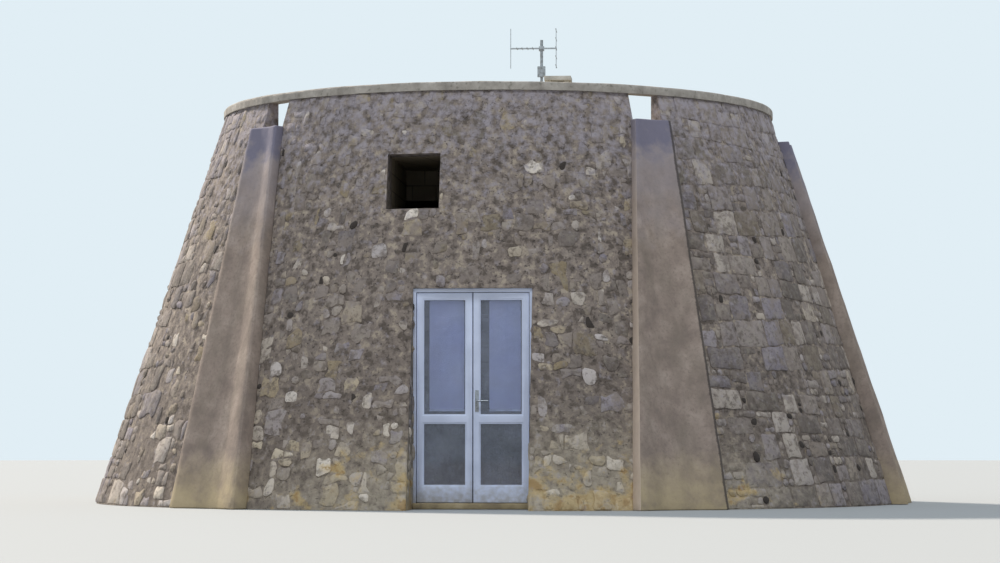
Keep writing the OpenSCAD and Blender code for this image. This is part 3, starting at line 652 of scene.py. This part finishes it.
def shapeStones(net, name, seed, standsOut, facingOut):
    # standsOut says how far a point is proud of the wall, and facingOut which way the wall looks there
    rng = random.Random(seed)
    bm = edit(net)
    joint = bm.faces.layers.int.new("joint")
    bm.faces.layers.int.new("shape")
    for f in bm.faces:
        f[joint] = 1 + rng.randrange(len(stones["joints"]))
    bmesh.update_edit_mesh(net.data)

    def pickLayer(kind, number):
        layer = bmesh.from_edit_mesh(net.data).faces.layers.int[kind]
        pickFaces(net, lambda f: f[layer] == number)

    pickFaces(net, lambda f: innerRadius(f) < stones["narrowest"])
    bpy.ops.mesh.delete(type="FACE")
    for number, width in enumerate(stones["joints"], 1):
        pickLayer("joint", number)
        bpy.ops.mesh.inset(thickness=width, use_individual=True, use_even_offset=False)
        # the joint itself goes, and the wall's mortar shows there
        joint = bmesh.from_edit_mesh(net.data).faces.layers.int["joint"]
        pickFaces(net, lambda f: f[joint] == number and not f.select)
        bpy.ops.mesh.delete(type="FACE")
    pickAll()
    bpy.ops.mesh.dissolve_degenerate(threshold=stones["shortest"])
    bm = bmesh.from_edit_mesh(net.data)
    shape = bm.faces.layers.int["shape"]
    for f in bm.faces:                   # a stone takes one of the shapes that it is wide enough for
        corner = stones["cornerFits"] * min(e.calc_length() for e in f.edges)
        shoulder = stones["shoulderFits"] * neckWidth(f)
        fits = [i for i, s in enumerate(stones["shapes"], 1) if s[0] < corner and s[2] < shoulder]
        f[shape] = rng.choice(fits[-3:]) if fits else 0
    bmesh.update_edit_mesh(net.data)
    pickLayer("shape", 0)
    bpy.ops.mesh.delete(type="FACE")
    for number, (corner, side, shoulder, rise) in enumerate(stones["shapes"], 1):
        pickLayer("shape", number)
        bpy.ops.mesh.bevel(affect="VERTICES", offset=corner, segments=1)
        pickLayer("shape", number)
        bpy.ops.mesh.inset(thickness=stones["draft"], depth=side, use_individual=True, use_even_offset=False)
        bpy.ops.mesh.inset(thickness=shoulder, depth=rise, use_individual=True, use_even_offset=False)
        bpy.ops.mesh.poke(offset=stones["crown"] * shoulder)

    def broken(f):
        if crossed(f) or f.normal.dot(facingOut(f.calc_center_median())) < stones["folded"]:
            return True
        return any(not stones["deepest"] < standsOut(v.co) < stones["furthest"] for v in f.verts)
    if pickFaces(net, broken):           # a stone that came out folded or with a spike is taken off
        bpy.ops.mesh.select_linked()
        bpy.ops.mesh.delete(type="FACE")
    pickAll()
    bpy.ops.mesh.fill_holes(sides=0)
    pickEdges(net, lambda e: len(e.link_faces) != 2)
    bpy.ops.mesh.select_linked()         # and so is a stone that could not be closed
    bpy.ops.mesh.delete(type="VERT")
    turnOutwards()
    leaveEdit()
    unevenness(net, stones["lumpSize"], stones["lumps"])
    tintStones(net, rng)
    finishPiece(net, name, rubbleStone, "tower", "rubble_wall", smoothAngle=42)


def tintStones(obj, rng):
    # each stone's tone, its warmth and whether it is a hole, painted dark as shade, for the material to read
    bm = bmesh.new()
    bm.from_mesh(obj.data)
    tint = bm.verts.layers.float_color.new("stoneTint")
    share, atHead, atFoot = stones["holes"]
    squaredTone, looseTone, paler = stones["tones"]
    seen = set()
    for start in bm.verts:
        if start in seen:
            continue
        stack, island = [start], [start]
        seen.add(start)
        while stack:
            for e in stack.pop().link_edges:
                for v in e.verts:
                    if v not in seen:
                        seen.add(v)
                        stack.append(v)
                        island.append(v)
        size = max((v.co - start.co).length for v in island)
        # paler stones and more holes lie low in the wall, and the coursed stretches are of greyer stone
        low = 1 - start.co.z / tower["wallHeight"]
        shadedHole = float(size < stones["holeSize"] and rng.random() < share * (atHead + atFoot * low))
        squared = facingCoursed(facingCell(bearingOf(start.co)))
        tone = rng.random() ** (squaredTone if squared else looseTone - paler * low)
        if squared or size > stones["largePale"]:
            tone = min(tone, stones["palest"])
        warmth = rng.random() * (stones["squaredWarmth"] if squared else 1.0)
        shade = (tone, warmth, shadedHole, 1.0)
        for v in island:
            v[tint] = shade
    bm.to_mesh(obj.data)
    bm.free()


# the facing of the tower, in one net that closes under the back left chute
facing = {"cells": 336, "courses": 54, "seam": 210.0, "seed": 7,
          "wander": 0.5, "waves": 5, "lean": 0.35, "coursed": [(34, 128), (150, 205), (218, 300)],
          "pieces": ["rubbleRight", "rubbleBackRight", "rubbleBackLeft", "rubbleLeft"]}


def facingBearing(u):
    return facing["seam"] + 360.0 * u / facing["cells"]


def facingCell(bearing):
    return (bearing - facing["seam"]) % 360 * facing["cells"] / 360


def facingCoursed(u):
    # the stretch right of the front chute and most of the far side are laid in courses of squared blocks
    b = facingBearing(u) % 360
    return any(start < b < end for start, end in facing["coursed"])


def facingPlace(u, r):
    if 0 < r < facing["courses"]:
        turn = u * 2 * math.pi * facing["waves"] / facing["cells"]
        r += facing["wander"] * math.sin(turn + r * facing["lean"])
    height = tower["wallHeight"] * min(max(r / facing["courses"], 0.0), 1.0)
    p = outward(facingBearing(u)) * (wallRadius(height) - stones["sunk"])
    p.z = height
    return p


def offTheWall(p):
    return math.hypot(p.x, p.y) - wallRadius(p.z)


def wallNormal(p):
    batter = (tower["footRadius"] - tower["headRadius"]) / tower["wallHeight"]
    return (Vector((p.x, p.y, 0)).normalized() + up * batter).normalized()


def behindChute(f):
    def covered(p, foot, top):
        rise = p.z / tower["roofHeight"]
        half = (chutes["footWidth"] + (chutes["topWidth"] - chutes["footWidth"]) * rise) / 2
        off = (bearingOf(p) - foot - (top - foot) * rise + 180) % 360 - 180
        aside = abs(math.radians(off)) * wallRadius(p.z)
        return aside <= half - chutes["lap"] and p.z <= tower["roofHeight"]
    return any(all(covered(v.co, foot, top) for v in f.verts)
               for foot, top in zip(chutes["feet"], chutes["tops"]))


net = stoneNet(facing["cells"], facing["courses"], facing["seed"], facingCoursed, facingPlace)
edit(net)
pickAll()
bpy.ops.mesh.remove_doubles(threshold=0.0005)
turnOutwards()
cutOpening(net, [(right * doorway["halfWidth"], right), (right * -doorway["halfWidth"], -right),
                 (up * doorway["height"], up), (ahead * 0, ahead)])
cutOpening(net, [(right * window["right"], right), (right * window["left"], -right),
                 (up * window["head"], up), (up * window["sill"], -up), (ahead * 0, ahead)])
for bearing in chutes["tops"]:
    along = outward(bearing + 90)
    cutOpening(net, [(along * (scupper["width"] / 2), along), (along * (-scupper["width"] / 2), -along),
                     (up * scupper["foot"], -up), (up * 0, -outward(bearing))])
pickFaces(net, behindChute)
bpy.ops.mesh.delete(type="FACE")
quarters = []
for i in range(len(facing["pieces"]) - 1):
    pickFaces(net, lambda f: i * 90 <= bearingOf(f.calc_center_median()) < (i + 1) * 90)
    bpy.ops.mesh.separate(type="SELECTED")
    quarters.append([o for o in bpy.context.selected_objects if o not in quarters + [net]][0])
leaveEdit()
for i, (piece, name) in enumerate(zip(quarters + [net], facing["pieces"])):
    shapeStones(piece, name, facing["seed"] + i, offTheWall, wallNormal)
    print("  ", name, len(piece.data.polygons), "faces")

# the cheeks of the doorway, faced with stones from the door out to the slope of the wall
cheek = {"cells": 10, "courses": 26, "cell": 0.085, "seed": 31, "back": 0.03, "headGap": 0.01}


def makeCheek(side, name):
    x = side * (doorway["halfWidth"] + stones["sunk"])

    def place(u, r):
        return Vector((x, -doorway["doorFace"] - u * cheek["cell"],
                       doorway["sillTop"] + r * cheek["cell"]))

    def edgeAt(height):
        return Vector((x, cheek["back"] - math.sqrt(wallRadius(height) ** 2 - x * x), height))
    net = stoneNet(cheek["cells"], cheek["courses"], cheek["seed"] + side, lambda u: False, place)
    foot = edgeAt(0)
    slope = (edgeAt(doorway["height"]) - foot).cross(right).normalized()
    slope = slope if slope.y < 0 else -slope
    edit(net)
    for point, normal in [(foot, slope), (up * (doorway["height"] - cheek["headGap"]), up)]:
        pickAll()
        bpy.ops.mesh.bisect(plane_co=point, plane_no=normal, clear_outer=True)
    turnOutwards()
    bm = bmesh.from_edit_mesh(net.data)
    if next(iter(bm.faces)).normal.x * side > 0:     # the stones face into the doorway
        bpy.ops.mesh.flip_normals()
    leaveEdit()
    shapeStones(net, name, cheek["seed"] + side, lambda p: doorway["halfWidth"] - p.x * side,
                lambda p: right * -side)


makeCheek(-1, "doorCheekLeft")
makeCheek(1, "doorCheekRight")
print("stage 3: the stones are laid")

# the rain chutes, with arrises rubbed round by the float and a surface that is nowhere quite flat

trowel = {"step": 0.09, "reach": 0.9, "arris": 0.016, "level": 0.03,
          "wideLumps": (0.45, 0.016), "smallLumps": (0.11, 0.006),
          "aged": "chute_front_right", "limedFrom": 0.75, "limedOver": 0.3, "dampReach": 0.1}


def arrisEnds(obj, i):
    # the foot and the head of the arris on the right-hand side of a chute
    ends = []
    for bearing, height in ((chutes["feet"][i], 0.0), (chutes["tops"][i], tower["roofHeight"])):
        level = [v.co for v in obj.data.vertices if abs(v.co.z - height) < trowel["level"]]
        ends.append(max(level, key=lambda p: p.dot(outward(bearing + 45))).copy())
    return ends


for i, name in enumerate(chutes["names"]):
    piece = mergedCopy(name)
    softenArrises(piece, trowel["arris"])
    edit(piece)
    cutAcross(up, 0, tower["roofHeight"], trowel["step"])
    along = outward((chutes["tops"][i] + chutes["feet"][i]) / 2 + 90)
    cutAcross(along, -trowel["reach"], trowel["reach"], trowel["step"])
    leaveEdit()
    unevenness(piece, *trowel["wideLumps"])
    unevenness(piece, *trowel["smallLumps"])
    for v in piece.data.vertices:        # the foot stays on the ground
        v.co.z = max(v.co.z, 0.0)
    # for the plaster to read: red is 1 on the paler left cheek, and green, a painted shadow line, rises to 1
    # at the right arris
    there = float(name == trowel["aged"])
    marked = piece.data.color_attributes.new("cheeks", "FLOAT_COLOR", "CORNER")
    foot, head = arrisEnds(piece, i)
    run = (head - foot).normalized()
    for f in piece.data.polygons:
        outwards = f.normal.dot(Vector((f.center.x, f.center.y, 0)).normalized())
        paleCheek = min(max((trowel["limedFrom"] - outwards) / trowel["limedOver"], 0.0), 1.0)
        paleCheek *= f.normal.x < 0          # only the cheek that looks left
        for corner in f.loop_indices:
            p = piece.data.vertices[piece.data.loops[corner].vertex_index].co
            # the painted shadow line is darkest on the arris and fades out over this reach
            shadowLine = max(1 - (p - foot).cross(run).length / trowel["dampReach"], 0.0)
            marked.data[corner].color = (paleCheek * there, shadowLine * there, 0.0, 1.0)
    newName = "rain" + "".join(word.capitalize() for word in name.split("_"))    # rainChuteFrontRight
    finishPiece(piece, newName, plaster, "tower", "plaster", [name], smoothAngle=45)
print("stage 4: the chutes are plastered")

# coping and roof

coping = {"turn": 2, "firstCut": 0.9, "wideLumps": (0.5, 0.012), "smallLumps": (0.09, 0.004)}
piece = mergedCopy("coping")
edit(piece)
for bearing in range(0, 180, coping["turn"]):
    pickAll()
    across = outward(bearing + coping["firstCut"])
    bpy.ops.mesh.bisect(plane_co=(0, 0, 0), plane_no=across, threshold=0.0001)
leaveEdit()
unevenness(piece, *coping["wideLumps"])
unevenness(piece, *coping["smallLumps"])
finishPiece(piece, "parapetCoping", cement, "tower", "cement_coping", ["coping"], smoothAngle=50)

# limestone slabs bedded on the roof, laid in rows and cut round at the parapet
slabs = {"count": 14, "size": 0.44, "reach": 2.97, "turn": 8, "least": 0.02, "joint": 0.006, "bed": 0.01,
         "rise": 0.004, "arris": 0.006, "draft": 0.001, "jitter": 0.006, "seed": 5}
bpy.ops.mesh.primitive_grid_add(x_subdivisions=slabs["count"], y_subdivisions=slabs["count"],
                                size=slabs["count"] * slabs["size"],
                                location=(0, 0, tower["roofHeight"] - slabs["bed"]))
piece = bpy.context.object
bpy.ops.object.transform_apply(location=True, rotation=False, scale=False)
rng = random.Random(slabs["seed"])
for v in piece.data.vertices:
    v.co.x += rng.uniform(-1, 1) * slabs["jitter"]
    v.co.y += rng.uniform(-1, 1) * slabs["jitter"]
edit(piece)
for bearing in range(0, 360, slabs["turn"]):
    out = outward(bearing)
    pickAll()
    bpy.ops.mesh.bisect(plane_co=out * slabs["reach"], plane_no=out, clear_outer=True)
pickFaces(piece, lambda f: f.calc_area() < slabs["least"] * f.calc_perimeter())
bpy.ops.mesh.delete(type="FACE")
pickAll()
bpy.ops.mesh.inset(thickness=slabs["joint"], use_individual=True)
pickFaces(piece, lambda f: not f.select)
bpy.ops.mesh.delete(type="FACE")
pickAll()
bpy.ops.mesh.inset(thickness=slabs["draft"], depth=slabs["bed"] + slabs["rise"] / 2, use_individual=True)
bpy.ops.mesh.inset(thickness=slabs["arris"], depth=slabs["rise"] / 2, use_individual=True)
pickAll()
bpy.ops.mesh.fill_holes(sides=0)
turnOutwards()
leaveEdit()
finishPiece(piece, "roofSlabs", roofStone, "tower", "paving_stone")
print("stage 5: coping and roof are laid")

# pieces of the source that only need their arrises softened

softened = [("door_lintel", "doorLintel", sawnStone, "cut_stone", 0.008),
            ("door_sill", "doorSill", sawnStone, "cut_stone", 0.01),
            ("flue", "flueStack", flueRender, "flue_render", 0.006),
            ("flue_cap", "flueCap", flueRender, "flue_render", 0.004),
            ("door_frame", "doorFrame", paint, "door_paint", 0.003),
            ("left_leaf", "leftLeaf", paint, "door_paint", 0.0025),
            ("right_leaf", "rightLeaf", paint, "door_paint", 0.0025),
            ("door_handle", "doorHandle", satinMetal, "handle_metal", 0.0015)]
for nodeName, name, mat, slotName, width in softened:
    piece = mergedCopy(nodeName)
    softenArrises(piece, width)
    body = body_of(frame["nodes"][nodeName])[0]
    finishPiece(piece, name, mat, body, slotName, [nodeName], smoothAngle=35)
print("stage 6: joinery and cut stone are eased")

# the blinds: cloth drawn down from its casing, a little slack in places

blind = {"across": 12, "down": 36, "thickness": 0.0008, "slack": (0.3, 0.006)}
for side in ("left", "right"):
    low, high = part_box(side + "_blind")
    width, drop = high.x - low.x, high.z - low.z
    bpy.ops.mesh.primitive_grid_add(x_subdivisions=blind["across"], y_subdivisions=blind["down"], size=1,
                                    location=(low + high) / 2, rotation=(math.pi / 2, 0, 0))
    piece = bpy.context.object
    piece.scale = (width, drop, 1)
    bpy.ops.object.transform_apply(location=True, rotation=True, scale=True)
    unevenness(piece, *blind["slack"])
    applyModifier(piece, "SUBSURF", levels=1, render_levels=1)
    applyModifier(piece, "SOLIDIFY", thickness=blind["thickness"], offset=0)
    finishPiece(piece, side + "BlindCloth", blindCloth, side + "_door", "blind_cloth", [side + "_blind"],
                smoothAngle=60)
print("stage 7: the blinds hang")

# camera, light and floor

camera = {"place": (2.37, -33.96, 0.68), "aim": (0.02, 0.0, 2.52), "lens": 107.0, "sensor": 36.0,
          "seesTo": 500}
bpy.ops.object.camera_add(location=camera["place"])
cam = bpy.context.object
cam.data.lens = camera["lens"]
cam.data.sensor_width = camera["sensor"]
cam.data.clip_end = camera["seesTo"]
sight = Vector(camera["aim"]) - Vector(camera["place"])
cam.rotation_euler = sight.to_track_quat("-Z", "Y").to_euler()
bpy.context.scene.camera = cam

# a low even light all round, a soft key from above the camera and a warm sun from behind on the left
lamps = {"backSun": {"bearing": -138, "height": 38, "strength": 5.0, "softness": 5,
                     "colour": (1, 0.9, 0.79)},
         "frontKey": {"bearing": -2, "height": 58, "strength": 1.27, "softness": 18,
                      "colour": (0.9, 0.95, 1)}}
for name, lamp in lamps.items():
    bpy.ops.object.light_add(type="SUN")
    sun = bpy.context.object
    sun.name = name
    sun.data.energy = lamp["strength"]
    sun.data.angle = math.radians(lamp["softness"])
    sun.data.color = lamp["colour"]
    direction = outward(lamp["bearing"]) * math.cos(math.radians(lamp["height"]))
    direction.z = math.sin(math.radians(lamp["height"]))
    sun.rotation_euler = direction.to_track_quat("Z", "Y").to_euler()

sky = {"light": "#e6edf8", "strength": 0.52, "seen": "#e1eef5"}
world = bpy.data.worlds.new("studio")
bpy.context.scene.world = world
world.use_nodes = True
tree = world.node_tree
light = tree.nodes["Background"]
light.inputs["Color"].default_value = linear(sky["light"])
light.inputs["Strength"].default_value = sky["strength"]
seen = addNode(tree, "Background", {"Color": linear(sky["seen"]), "Strength": 1.0})
shown = addNode(tree, "LightPath", out="Is Camera Ray")
for ray in ("Is Glossy Ray", "Is Transmission Ray"):     # the pale sky shows in glass and through it too
    shown = addNode(tree, "Math", {0: shown, 1: addNode(tree, "LightPath", out=ray)}, operation="MAXIMUM")
both = addNode(tree, "MixShader", {0: shown, 1: light.outputs[0], 2: seen})
tree.links.new(both, tree.nodes["World Output"].inputs["Surface"])

ground = {"sides": 128, "radius": 80, "below": 0.002, "colour": "#a6a9a9"}
bpy.ops.mesh.primitive_circle_add(vertices=ground["sides"], radius=ground["radius"], fill_type="NGON",
                                  location=(0, 0, -ground["below"]))
floor = bpy.context.object
floor.name = "paleFloor"
floorMaterial, _, floorShader, _ = newMaterial("mattPaleFloor", 0.9)
floorShader.inputs["Base Color"].default_value = linear(ground["colour"])
floor.data.materials.append(floorMaterial)
bpy.context.scene.view_settings.view_transform = "Standard"
print("stage 8: camera, light and floor are set")
